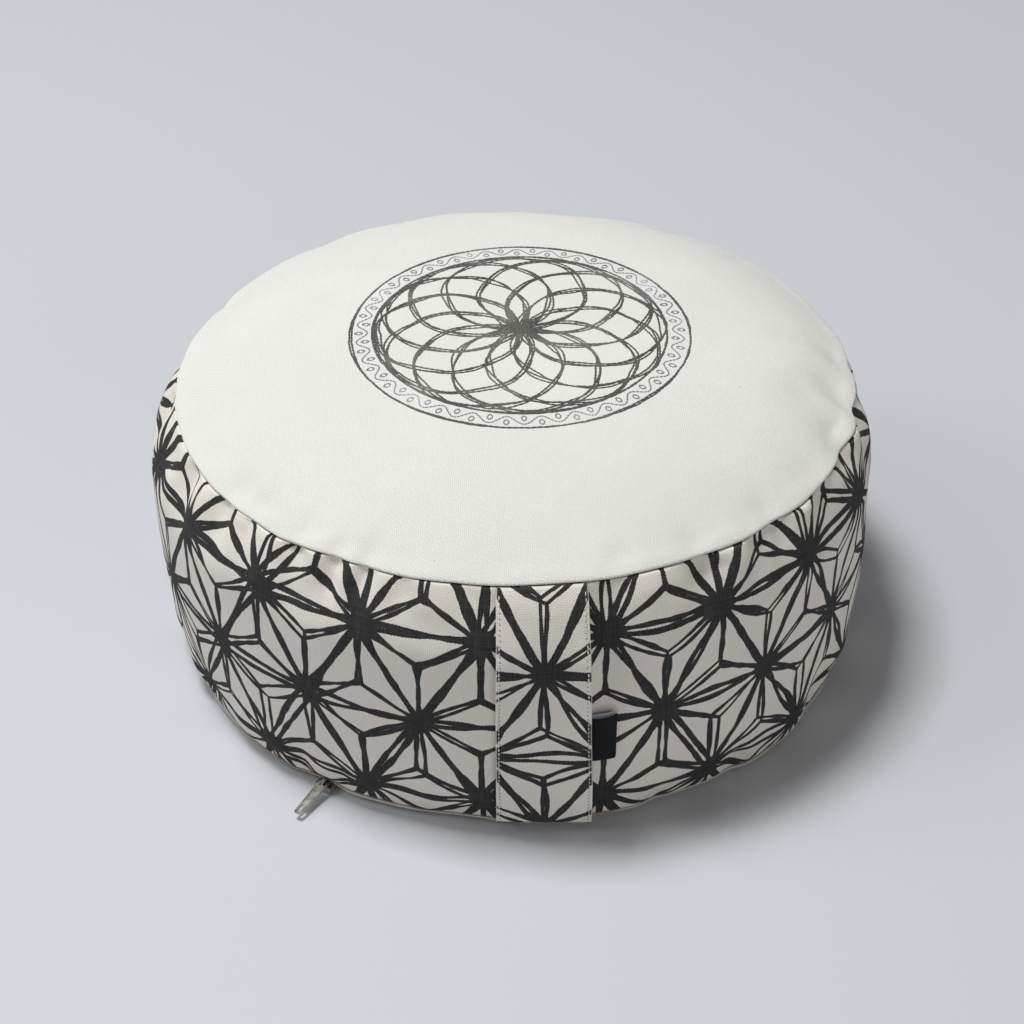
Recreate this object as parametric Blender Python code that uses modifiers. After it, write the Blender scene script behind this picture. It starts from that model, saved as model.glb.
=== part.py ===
"""Round zafu meditation cushion: a squat drum with a crowned top panel, a bellied side band, a flat
base panel, an upright strap sewn down the side, a folded tab in the strap's edge, and the slider and pull
of the zip in the base seam. Metres, +Z up, origin at the middle of the base, strap centred on -Y."""

import math

import bmesh
import bpy
import numpy as np

MM = 0.001
SEGMENTS = 72  # facets round the drum
HEIGHT = 152.3 * MM
BELLY_RADIUS = 165.0 * MM
PANEL = 2.0 * MM  # thickness of a cloth panel with its turned edge
GAP = 0.37 * MM  # clear space between two pieces of cloth

TOP_SEAM_RADIUS = 153.3 * MM
TOP_SEAM_HEIGHT = 127.0 * MM
CROWN_POWER = 3.97  # flat in the middle, rounding down to the seam
PANEL_EDGE_RADIUS = 152.9 * MM

# Side of the drum from the top seam's lip to the base seam's lip.
SIDE = (  # radius mm, height mm
    (151.35, 124.95),
    (153.35, 126.05),
    (153.80, 125.95),
    (155.00, 123.70),
    (157.40, 118.90),
    (160.20, 112.60),
    (163.00, 105.10),
    (165.00, 97.00),
    (165.00, 78.30),
    (164.60, 54.70),
    (163.60, 34.20),
    (161.90, 18.40),
    (160.30, 8.40),
    (159.75, 5.30),
    (159.50, 4.35),
    (159.10, 4.20),
    (157.72, 6.12),
)
LIP_ROWS = slice(2, 14)  # rows of SIDE that show once the panels are on

# Underside of the base panel, from the flat disc that rests on the floor to the turned-up edge.
BASE = (  # radius mm, height mm
    (146.0, 0.0),
    (150.0, 0.35),
    (154.0, 1.35),
    (157.0, 2.70),
    (158.8, 4.00),
)

# A hand-filled cushion is not quite round: each row swells or draws in one place of the side.
LUMPS = (  # azimuth deg, spread deg, height mm, height spread mm, outwards mm
    (86, 34, 82, 34, -1.7),
    (-94, 34, 82, 34, 1.1),
    (46, 22, 22, 18, 2.1),
    (158, 38, 66, 40, 1.2),
    (-150, 34, 58, 36, 1.0),
)
TOP_LEAN = (1.5 * MM, -0.4 * MM)  # how far the top seam sits off the base's middle

STRAP_WIDTH = 40.0 * MM
STRAP_THICK = 2.0 * MM
STRAP_LIFT = 3.0 * MM  # how far the edge that holds the tab stands off the side
STRAP_ROWS = (  # height mm of each row of points down the strap
    (125.3, 123.7, 118.9, 112.6, 105.1, 97, 87, 78.3, 66, 54.7, 44, 34.2, 26, 18.4, 8.4, 5.3, 2.2)
)

TAB_LOW = 40.0 * MM
TAB_HIGH = 67.5 * MM
TAB_REACH = 10.5 * MM  # from the strap's edge to the tab's fold
TAB_TUCK = 3.0 * MM  # hidden under the strap
TAB_THICK = 0.8 * MM
TAB_OPEN = 1.3 * MM  # between the two legs at the fold

ZIP_AZIMUTH = -35.5  # deg from -Y towards +X
# The slider lies in a pocket of the base seam. Across, outwards from the Z axis and up, all in mm.
POCKET = ((-4.6, 152.8, -1.0), (4.6, 170.0, 7.0))
SLIDER_BODY = ((-4.2, 153.2, 1.6), (4.2, 160.8, 3.9))
SLIDER_BRIDGE = ((-0.8, 156.2, 3.0), (0.8, 161.6, 6.6))
SLIDER_THROAT = ((-2.0, 157.5, 3.9), (2.0, 160.3, 5.8))
PULL_OUTLINE = (  # half width mm, distance outwards mm
    (1.7, 158.1),
    (2.3, 158.6),
    (2.7, 160.4),
    (1.8, 176.0),
    (1.6, 180.0),
    (1.2, 180.5),
)
PULL_UNDERSIDE = 4.5 * MM
PULL_THICK = 0.9 * MM
PULL_DROOP = 1.1 * MM  # lower at the tip than at the bridge
PULL_EYE = ((-1.3, 159.8, 0.0), (1.3, 162.4, 9.0))
PULL_SLOT = ((-0.6, 175.4, 0.0), (0.6, 178.8, 9.0))


def add(name, mesh, collection=None):
    made = bpy.data.objects.new(name, mesh)
    (collection or cushion).objects.link(made)
    return made


def finish(made, skin, colour, roughness, metallic):
    """The piece's own material, and smooth shading up to its real corners."""
    shade = bpy.data.materials.new(skin)
    shade.use_nodes = True
    shader = shade.node_tree.nodes["Principled BSDF"]
    shader.inputs["Base Color"].default_value = (*colour, 1.0)
    shader.inputs["Roughness"].default_value = roughness
    shader.inputs["Metallic"].default_value = metallic
    shade.diffuse_color = (*colour, 1.0)
    made.data.materials.append(shade)
    made.data.shade_smooth()
    made.data.set_sharp_from_angle(angle=math.radians(45))


def crown(radius):
    """Height of the top panel's outside at this radius."""
    rise = HEIGHT - TOP_SEAM_HEIGHT
    return HEIGHT - rise * (radius / TOP_SEAM_RADIUS) ** CROWN_POWER


def inward(line, depth):
    """The line of (radius, height) points moved by depth to its right-hand side, corners included."""
    step = np.diff(line, axis=0)
    step /= np.linalg.norm(step, axis=1)[:, None]
    along = np.vstack([step[:1], step[:-1] + step[1:], step[-1:]])
    along /= np.linalg.norm(along, axis=1)[:, None]
    return line + depth * np.stack([along[:, 1], -along[:, 0]], axis=1)


def settled(points):
    """Points of the true drum moved as the filled cushion sits: lumps in the side, the top a little off."""
    x, y, z = np.asarray(points, float).T
    radius = np.hypot(x, y)
    azimuth = np.degrees(np.arctan2(x, -y))
    swell = np.zeros(len(x))
    for centre, spread, height, height_spread, outwards in LUMPS:
        turn = (azimuth - centre + 180) % 360 - 180
        rise = (z / MM - height) / height_spread
        swell += outwards * MM * np.exp(-((turn / spread) ** 2 + rise**2) / 2)
    grow = 1 + swell * radius / BELLY_RADIUS**2
    lean = np.clip((z - 0.4 * TOP_SEAM_HEIGHT) / (0.6 * TOP_SEAM_HEIGHT), 0, 1) ** 2
    return np.stack([x * grow + TOP_LEAN[0] * lean, y * grow + TOP_LEAN[1] * lean, z], axis=1)


def turned(name, profile):
    """A closed solid of revolution of a profile that starts and ends on the Z axis."""
    bm = bmesh.new()
    ring = [bm.verts.new((0.0, -radius, height)) for radius, height in profile]
    edges = [bm.edges.new(pair) for pair in zip(ring, ring[1:])]
    bmesh.ops.spin(
        bm, geom=ring + edges, cent=(0, 0, 0), axis=(0, 0, 1), angle=math.tau, steps=SEGMENTS
    )
    bmesh.ops.remove_doubles(bm, verts=bm.verts, dist=1e-6)
    bmesh.ops.recalc_face_normals(bm, faces=bm.faces)
    for vertex, point in zip(bm.verts, settled([vertex.co for vertex in bm.verts])):
        vertex.co = point
    mesh = bpy.data.meshes.new(name)
    bm.to_mesh(mesh)
    bm.free()
    return add(name, mesh)


def top_line():
    """Outside of the top panel from the middle to its turned edge."""
    radii = np.array([0, 22, 44, 66, 86, 104, 119, 131, 140, 146.5, 151.2]) * MM
    line = np.stack([radii, crown(radii)], axis=1)
    edge = [(PANEL_EDGE_RADIUS - 0.4 * MM, 127.30 * MM), (PANEL_EDGE_RADIUS, 126.60 * MM)]
    return np.vstack([line, edge])


def drum_profile():
    """Filled body inside its panels: crown and underside lie a gap inside the cloth that covers them."""
    crown_line = inward(top_line(), PANEL + GAP)[:-2]
    crown_line[0, 0] = 0.0
    under = inward(np.array([(0.0, 0.0), *BASE]) * MM, -(PANEL + GAP))[::-1][1:]
    under[-1, 0] = 0.0
    return np.vstack([crown_line, np.array(SIDE) * MM, under])


def top_profile():
    outside = top_line()
    inside = inward(outside, PANEL)[::-1]
    inside[-1, 0] = 0.0
    return np.vstack([outside, inside])


def base_profile():
    outside = np.array([(0.0, 0.0), *BASE]) * MM
    inside = inward(outside, -PANEL)[::-1]
    inside[-1, 0] = 0.0
    return np.vstack([outside, inside])[::-1]


def side_point(across, height, off):
    """Points at off from the drum's side, at a distance across round it from the strap's middle line."""
    rows = np.array(SIDE)[LIP_ROWS][::-1] * MM
    radius = np.interp(height, rows[:, 1], rows[:, 0])
    slope = np.interp(height, rows[:, 1], np.gradient(rows[:, 0], rows[:, 1]))
    lean = np.arctan(slope)
    reach = radius + off * np.cos(lean)
    turn = across / radius
    return np.stack([reach * np.sin(turn), -reach * np.cos(turn), height - off * np.sin(lean)], axis=-1)


def sheet(name, grid, thickness, ease):
    """A cloth sheet: the grid is its inner face, thickened along the normals, with its edges eased."""
    rows, columns = grid.shape[:2]
    index = np.arange(rows * columns).reshape(rows, columns)
    quads = np.stack([index[:-1, :-1], index[1:, :-1], index[1:, 1:], index[:-1, 1:]], axis=-1)
    mesh = bpy.data.meshes.new(name)
    mesh.from_pydata(settled(grid.reshape(-1, 3)).tolist(), [], quads.reshape(-1, 4).tolist())
    made = add(name, mesh)
    solid = made.modifiers.new("Cloth thickness", "SOLIDIFY")
    solid.thickness = thickness
    solid.offset = 1.0
    solid.use_even_offset = True
    edge = made.modifiers.new("Eased edge", "BEVEL")
    edge.width = ease
    edge.segments = 1
    edge.limit_method = "ANGLE"
    edge.angle_limit = math.radians(50)
    return made


def strap_grid():
    """Inner face of the strap: close to the side on one long edge, standing off it on the other."""
    heights = np.array(STRAP_ROWS) * MM
    height, across = np.meshgrid(heights, np.linspace(-0.5, 0.5, 10) * STRAP_WIDTH, indexing="ij")
    down = 1 - height / heights[0]
    out = np.clip(across / STRAP_WIDTH + 0.1, 0, 1) / 0.6
    lift = STRAP_LIFT * out**1.6 * np.clip(down * 5, 0, 1) * (1 - 0.4 * np.clip(down * 6 - 5, 0, 1))
    return side_point(across, height, GAP + lift)


def tab_grid():
    """Inner face of the folded tab: out along the under leg, round the fold, back along the upper leg."""
    leg = TAB_TUCK + TAB_REACH - TAB_THICK - 0.5 * TAB_OPEN
    low, rooted = GAP + TAB_THICK, 0.3 * MM
    shares = np.array([0.0, 0.3, 0.65, 1.0])
    under = np.stack([shares * leg, np.full(4, low)], axis=1)
    bend = np.radians([-54, -18, 18, 54])
    half = 0.5 * TAB_OPEN
    fold = np.stack([leg + half * np.cos(bend), low + half * (1 + np.sin(bend))], axis=1)
    over = np.stack([shares * leg, low + rooted + (TAB_OPEN - rooted) * shares**2], axis=1)[::-1]
    line = np.vstack([under, fold, over])
    heights = np.linspace(TAB_LOW, TAB_HIGH, 5)
    height, along = np.meshgrid(heights, np.arange(len(line)), indexing="ij")
    return side_point(0.5 * STRAP_WIDTH - TAB_TUCK + line[along, 0], height, line[along, 1])


def at_zip(points):
    """Points given across, outwards and up at the zip's place on the base seam."""
    across, outwards, up = np.asarray(points, float).T
    turn = math.radians(ZIP_AZIMUTH)
    x = across * math.cos(turn) + outwards * math.sin(turn)
    y = across * math.sin(turn) - outwards * math.cos(turn)
    return np.stack([x, y, up], axis=1)


def box(name, corners, collection=None):
    """A box between two corners given at the zip."""
    bm = bmesh.new()
    bmesh.ops.create_cube(bm, size=1.0)
    unit = np.array([vertex.co for vertex in bm.verts])
    low, high = np.array(corners) * MM
    for vertex, point in zip(bm.verts, at_zip((low + high) / 2 + unit * (high - low))):
        vertex.co = point
    bmesh.ops.recalc_face_normals(bm, faces=bm.faces)
    mesh = bpy.data.meshes.new(name)
    bm.to_mesh(mesh)
    bm.free()
    made = add(name, mesh, collection)
    if collection:
        made.hide_render = True
        made.display_type = "WIRE"
    return made


def pull_plate():
    """The flat tapered pull, drooping from the bridge towards its tip."""
    half = np.array(PULL_OUTLINE) * MM
    outline = np.vstack([half, half[::-1] * (-1, 1)])
    share = (outline[:, 1] - outline[:, 1].min()) / np.ptp(outline[:, 1])
    under = PULL_UNDERSIDE - PULL_DROOP * share
    bm = bmesh.new()
    points = at_zip(np.column_stack([outline, under]))
    face = bm.faces.new([bm.verts.new(point) for point in points])
    raised = bmesh.ops.extrude_face_region(bm, geom=[face])["geom"]
    lifted = [item for item in raised if isinstance(item, bmesh.types.BMVert)]
    bmesh.ops.translate(bm, verts=lifted, vec=(0, 0, PULL_THICK))
    bmesh.ops.recalc_face_normals(bm, faces=bm.faces)
    mesh = bpy.data.meshes.new("zip_pull")
    bm.to_mesh(mesh)
    bm.free()
    made = add("zip_pull", mesh)
    edge = made.modifiers.new("Eased edge", "BEVEL")
    edge.width = 0.15 * MM
    edge.segments = 1
    edge.limit_method = "ANGLE"
    edge.angle_limit = math.radians(50)
    return made


def boolean(target, cutter, operation):
    step = target.modifiers.new(f"{operation.title()} {cutter.name}", "BOOLEAN")
    step.operation = operation
    step.solver = "EXACT"
    step.object = cutter


for old in list(bpy.data.objects):
    bpy.data.objects.remove(old)
cushion = bpy.data.collections.new("Zafu cushion")
cutters = bpy.data.collections.new("Cutters")
cutters.hide_render = True
for collection in (cushion, cutters):
    bpy.context.scene.collection.children.link(collection)

side_band = turned("side_band", drum_profile())
top_panel = turned("top_panel", top_profile())
base_panel = turned("base_panel", base_profile())
side_strap = sheet("side_strap", strap_grid(), STRAP_THICK, 0.4 * MM)
side_tab = sheet("side_tab", tab_grid(), TAB_THICK, 0.15 * MM)

pocket = box("zip_pocket", POCKET, cutters)
boolean(side_band, pocket, "DIFFERENCE")
boolean(base_panel, pocket, "DIFFERENCE")

zip_slider = box("zip_slider", SLIDER_BODY)
boolean(zip_slider, box("slider_bridge", SLIDER_BRIDGE, cutters), "UNION")
boolean(zip_slider, box("slider_throat", SLIDER_THROAT, cutters), "DIFFERENCE")
zip_pull = pull_plate()
boolean(zip_pull, box("pull_eye", PULL_EYE, cutters), "DIFFERENCE")
boolean(zip_pull, box("pull_slot", PULL_SLOT, cutters), "DIFFERENCE")

for made, skin, colour, roughness, metallic in (
    (side_band, "printed_canvas", (0.60, 0.59, 0.57), 0.85, 0.0),
    (top_panel, "top_canvas", (0.80, 0.80, 0.77), 0.88, 0.0),
    (base_panel, "base_canvas", (0.78, 0.77, 0.73), 0.88, 0.0),
    (side_strap, "strap_canvas", (0.55, 0.54, 0.52), 0.85, 0.0),
    (side_tab, "tab_weave", (0.012, 0.012, 0.013), 0.6, 0.0),
    (zip_slider, "slider_metal", (0.42, 0.41, 0.39), 0.32, 1.0),
    (zip_pull, "pull_metal", (0.42, 0.41, 0.39), 0.32, 1.0),
):
    finish(made, skin, colour, roughness, metallic)
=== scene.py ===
"""Looks of a round zafu meditation cushion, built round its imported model. Metres, +Z up, strap towards -Y."""

import math

import bmesh
import bpy
import numpy as np
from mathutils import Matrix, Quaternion, Vector


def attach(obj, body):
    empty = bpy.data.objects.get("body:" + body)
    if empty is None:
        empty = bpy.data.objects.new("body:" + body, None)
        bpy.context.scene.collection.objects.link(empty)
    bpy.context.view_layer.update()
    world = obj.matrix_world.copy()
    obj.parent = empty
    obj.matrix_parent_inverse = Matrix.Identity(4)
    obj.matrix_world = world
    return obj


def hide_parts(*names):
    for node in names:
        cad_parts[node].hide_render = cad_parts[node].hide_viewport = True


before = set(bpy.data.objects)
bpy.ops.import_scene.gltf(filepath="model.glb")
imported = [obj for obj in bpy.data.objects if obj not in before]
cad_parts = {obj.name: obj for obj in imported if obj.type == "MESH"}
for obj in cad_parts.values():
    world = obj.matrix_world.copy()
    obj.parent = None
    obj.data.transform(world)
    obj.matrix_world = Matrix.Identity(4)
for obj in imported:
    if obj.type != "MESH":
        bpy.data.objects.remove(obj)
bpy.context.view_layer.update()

# Side band. A strip of cotton canvas, printed with a hemp-leaf lattice in charcoal ink, is sewn into a ring
# and drawn in a little where it meets the round panels, so it puckers along both seams. The cushion is
# filled hard: the band bellies out and everything inside it is one body.

MM = 0.001
COLUMNS = 320  # points round the drum
HEIGHT = 152.3 * MM
BELLY_RADIUS = 165.0 * MM
BELLY_HEIGHT = 97.0 * MM
TOP_SEAM_RADIUS = 153.3 * MM
TOP_SEAM_HEIGHT = 127.0 * MM
BASE_SEAM_RADIUS = 159.7 * MM
BASE_SEAM_HEIGHT = 5.0 * MM
UPPER_POWER, LOWER_POWER, CROWN_POWER = 1.368, 3.42, 3.97

azimuth = np.linspace(0, math.tau, COLUMNS, endpoint=False)  # from -Y towards +X


def side_radius(height):
    """Radius of the side: the belly's, less a power of the distance above or below the belly."""
    up = np.clip((height - BELLY_HEIGHT) / (TOP_SEAM_HEIGHT - BELLY_HEIGHT), 0, None)
    down = np.clip((BELLY_HEIGHT - height) / (BELLY_HEIGHT - BASE_SEAM_HEIGHT), 0, None)
    drawn_in = (BELLY_RADIUS - TOP_SEAM_RADIUS) * up**UPPER_POWER
    return BELLY_RADIUS - drawn_in - (BELLY_RADIUS - BASE_SEAM_RADIUS) * down**LOWER_POWER


def crown_height(radius):
    """Height of the top: level in the middle, falling with nearly the fourth power of the radius."""
    return HEIGHT - (HEIGHT - TOP_SEAM_HEIGHT) * (radius / TOP_SEAM_RADIUS) ** CROWN_POWER


def length_along(line):
    """Distance from the first point of a line to each of its points, along the line."""
    steps = np.linalg.norm(np.diff(line, axis=0), axis=1)
    return np.concatenate([[0.0], np.cumsum(steps)])


side_heights = np.linspace(TOP_SEAM_HEIGHT, 0, 600)
side_line = np.stack([side_radius(side_heights), side_heights], axis=1)
side_drops = length_along(side_line)
SIDE_LENGTH = np.interp(-BASE_SEAM_HEIGHT, -side_heights, side_drops)
crown_radii = np.linspace(0, TOP_SEAM_RADIUS, 600)
crown_line = np.stack([crown_radii, crown_height(crown_radii)], axis=1)
crown_runs = length_along(crown_line)
CROWN_LENGTH = crown_runs[-1]


def skin_line(drop):
    """(radius, height) at a distance along the cloth from the top seam: below it down the side, above it
    (negative) over the top."""
    line = np.vstack([crown_line[:-1], side_line])
    run = np.concatenate([crown_runs[:-1] - CROWN_LENGTH, side_drops])
    return np.stack([np.interp(drop, run, line[:, 0]), np.interp(drop, run, line[:, 1])], axis=-1)


def unit(vectors):
    """The vectors along the last axis, each at length 1."""
    return vectors / np.linalg.norm(vectors, axis=-1)[..., None]


def outward(line):
    """Unit normal of a profile that runs outwards and down: its tangent turned a quarter to the outside."""
    tangent = unit(np.gradient(line, axis=0))
    return np.stack([-tangent[:, 1], tangent[:, 0]], axis=1)


# A hand-filled cushion is not quite round: these places of the side stand out or draw in.
LUMPS = (  # azimuth deg, spread deg, height mm, height spread mm, outwards mm
    (86, 34, 82, 34, -1.7),
    (-94, 34, 82, 34, 1.1),
    (46, 22, 22, 18, 2.1),
    (158, 38, 66, 40, 1.2),
    (-150, 34, 58, 36, 1.0),
)
TOP_LEAN = (1.5 * MM, -0.4 * MM)  # how far the top seam sits off the base's middle


def turn_from(centre):
    """Signed angle in degrees of each azimuth from a centre in degrees."""
    return (np.degrees(azimuth) - centre + 180) % 360 - 180


def hump(centre, spread):
    """A round hump at each azimuth, 1 high at its centre; centre and spread are in degrees."""
    return np.exp(-((turn_from(centre) / spread) ** 2) / 2)


def settled(points):
    """Points of the true drum moved as the filled cushion sits: lumps in the side, the top a little off."""
    x, y, z = np.moveaxis(points, -1, 0)
    radius = np.hypot(x, y)
    angle = np.degrees(np.arctan2(x, -y))
    swell = np.zeros_like(x)
    for centre, spread, height, height_spread, outwards in LUMPS:
        turn = (angle - centre + 180) % 360 - 180
        rise = (z / MM - height) / height_spread
        swell += outwards * MM * np.exp(-((turn / spread) ** 2 + rise**2) / 2)
    grow = 1 + swell * radius / BELLY_RADIUS**2
    lean = np.clip((z - 0.4 * TOP_SEAM_HEIGHT) / (0.6 * TOP_SEAM_HEIGHT), 0, 1) ** 2
    return np.stack([x * grow + TOP_LEAN[0] * lean, y * grow + TOP_LEAN[1] * lean, z], axis=-1)


def turned(radius, height):
    """Rings of points: each (radius, height), one number a row or a number a point, carried round Z."""
    radius, height = np.broadcast_arrays(radius, height)
    return np.stack([radius * np.sin(azimuth), -radius * np.cos(azimuth), height + 0 * azimuth], axis=-1)


def placed(name, data):
    """A new object of a mesh, lamp or camera, put in the scene."""
    piece = bpy.data.objects.new(name, data)
    bpy.context.scene.collection.objects.link(piece)
    return piece


def ring_faces(rows, columns):
    """The four corner numbers of each face between rings of points, each ring joined to the next."""
    index = np.arange(rows * columns).reshape(rows, columns)
    beside = np.roll(index, -1, axis=1)
    return np.stack([index[:-1], index[1:], beside[1:], beside[:-1]], axis=-1).reshape(-1, 4)


def cloth_piece(name, points, faces, corners, merged):
    """A smooth object of the points and faces, with the flat cloth's (u, v) at each face's corners. Points
    nearer than merged become one, and the faces are turned outwards."""
    mesh = bpy.data.meshes.new(name)
    mesh.from_pydata(points.reshape(-1, 3).tolist(), [], faces.tolist())
    layer = mesh.uv_layers.new(name="Cloth")
    layer.data.foreach_set("uv", corners.astype(np.float32).ravel())
    bm = bmesh.new()
    bm.from_mesh(mesh)
    bmesh.ops.remove_doubles(bm, verts=bm.verts, dist=merged)
    bmesh.ops.recalc_face_normals(bm, faces=bm.faces)
    bm.to_mesh(mesh)
    bm.free()
    mesh.shade_smooth()
    return placed(name, mesh)


def skin_mesh(name, rings, cloth):
    """A closed piece of rings, each joined to the next, whose end rings have shrunk to a point or folded
    flat. rings is (rows, columns, 3), and cloth the flat cloth's (u, v) at (rows, columns + 1)."""
    corners = np.stack([cloth[:-1, :-1], cloth[1:, :-1], cloth[1:, 1:], cloth[:-1, 1:]], axis=2)
    return cloth_piece(name, rings, ring_faces(*rings.shape[:2]), corners, 1e-6)


def softened(rings, cloth):
    """Rings and their cloth positions made twice as fine and smooth both ways: each span between two
    neighbours gives two points, a quarter and three quarters along it, and the end rings stay."""
    wrap = cloth[:, -1:] - cloth[:, :1]
    closed = np.concatenate([rings, rings[:, :1]], axis=1)
    fine = []
    for grid in (closed, cloth):
        one, next_one = grid[:, :-1], grid[:, 1:]
        pairs = np.stack([0.75 * one + 0.25 * next_one, 0.25 * one + 0.75 * next_one], axis=2)
        wide = pairs.reshape(len(grid), -1, grid.shape[-1])
        one, next_one = wide[:-1], wide[1:]
        pairs = np.stack([0.75 * one + 0.25 * next_one, 0.25 * one + 0.75 * next_one], axis=1)
        fine.append(np.concatenate([wide[:1], pairs.reshape(-1, *wide.shape[1:]), wide[-1:]]))
    return fine[0], np.concatenate([fine[1], fine[1][:, :1] + wrap[:1]], axis=1)


def ripple(seed, lowest, highest):
    """A seeded wave round the drum, as high as about 1: cosines of every whole number of turns between
    lowest and highest, with random heights and phases."""
    draw = np.random.default_rng(seed)
    turns = np.arange(lowest, highest + 1)[:, None]
    heights, phases = draw.normal(size=turns.shape), draw.uniform(0, math.tau, turns.shape)
    return (heights * np.cos(turns * azimuth + phases)).sum(axis=0) / math.sqrt(len(turns))


# The band is cut longer than the seams that hold it. More of its ease lies in some places than in others.
FULL_PLACES = (  # azimuth deg, spread deg, share of extra cloth
    (-46, 24, 0.055),
    (34, 16, 0.028),
    (64, 14, 0.030),
    (-100, 20, 0.030),
    (128, 26, 0.030),
    (-152, 28, 0.035),
)
LEAST_EASE = 0.022
SKIN_STEP = 3.7 * MM
SIMULATED_FROM = -66 * MM  # along the cloth from the top seam, over the top panel
PUCKER_LIMIT = 2.8 * MM
COARSEST_WAVE, FINEST_WAVE = 7, 46  # waves round the drum, outside which puckers fade out


def filled_out():
    """Blender's cloth blows up the skin between its seams: a grid held at the top's middle and at both
    seams, with longer cloth where the band is full. Gives the drops of the rows and how far outwards each
    point ends, without the waves that are longer or finer than a pucker."""
    drops = np.concatenate([
        np.linspace(SIMULATED_FROM, 0, round(-SIMULATED_FROM / SKIN_STEP) + 1)[:-1],
        np.linspace(0, SIDE_LENGTH, round(SIDE_LENGTH / SKIN_STEP) + 1),
    ])
    line = skin_line(drops)
    normal = outward(line)
    rest = turned(line[:, :1], line[:, 1:])
    start = rest + np.random.default_rng(11).normal(0, 0.12 * MM, rest.shape)
    sewn = np.zeros((len(drops), COLUMNS))
    sewn[[0, -1]] = 1.0
    sewn[np.abs(drops) < 0.1 * MM] = 1.0
    share = LEAST_EASE + 0.008 * ripple(5, 9, 26)
    for centre, spread, extra in FULL_PLACES:
        share = share + extra * hump(centre, spread)
    most = share.max()
    taut = 1 - np.clip(share / most, 0, 1) * np.where(drops < -1 * MM, 0.35, 1.0)[:, None]
    mesh = bpy.data.meshes.new("Skin")
    mesh.from_pydata(start.reshape(-1, 3).tolist(), [], ring_faces(*sewn.shape).tolist())
    skin = placed("Skin", mesh)
    for name, weights in (("Sewn", sewn), ("Taut", taut)):
        group = skin.vertex_groups.new(name=name)
        levels = np.round(weights.ravel() * 40) / 40
        for level in np.unique(levels):
            group.add(np.flatnonzero(levels == level).tolist(), level, "REPLACE")
    cloth = skin.modifiers.new("Cloth", "CLOTH").settings
    cloth.quality = 6
    cloth.mass = 0.3
    cloth.tension_stiffness = cloth.compression_stiffness = 20
    cloth.shear_stiffness = 8
    cloth.bending_stiffness = 0.4
    cloth.air_damping = 2
    cloth.use_pressure = True
    cloth.uniform_pressure_force = 5
    cloth.shrink_max = 0.0
    cloth.shrink_min = -most
    cloth.vertex_group_mass = "Sewn"
    cloth.vertex_group_shrink = "Taut"
    cloth.effector_weights.gravity = 0
    for number in range(1, 25):
        bpy.context.scene.frame_set(number)
    graph = bpy.context.evaluated_depsgraph_get()
    blown = skin.evaluated_get(graph).to_mesh()
    points = np.empty(rest.size, np.float32)
    blown.vertices.foreach_get("co", points)
    moved = points.reshape(rest.shape) - rest
    bpy.data.objects.remove(skin)
    bpy.data.meshes.remove(mesh)
    bpy.context.scene.frame_set(1)
    across = turned(normal[:, :1], normal[:, 1:])
    waves = np.fft.rfft((moved * across).sum(axis=2), axis=1)
    number = np.arange(waves.shape[1])
    waves *= (1 - np.exp(-((number / COARSEST_WAVE) ** 6))) * np.exp(-((number / FINEST_WAVE) ** 4))
    out = np.fft.irfft(waves, n=COLUMNS, axis=1)
    # The filling presses the middle of the side smooth, and the top panel is cut without ease.
    middle = np.exp(-(((drops - 0.52 * SIDE_LENGTH) / (0.33 * SIDE_LENGTH)) ** 4))
    firm = np.where(drops < 0, 0.36 * np.exp(drops / (20 * MM)), 1.45 - 1.20 * middle)[:, None]
    return drops, PUCKER_LIMIT * np.tanh(firm * out / PUCKER_LIMIT)


pucker_drops, puckers = filled_out()

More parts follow.
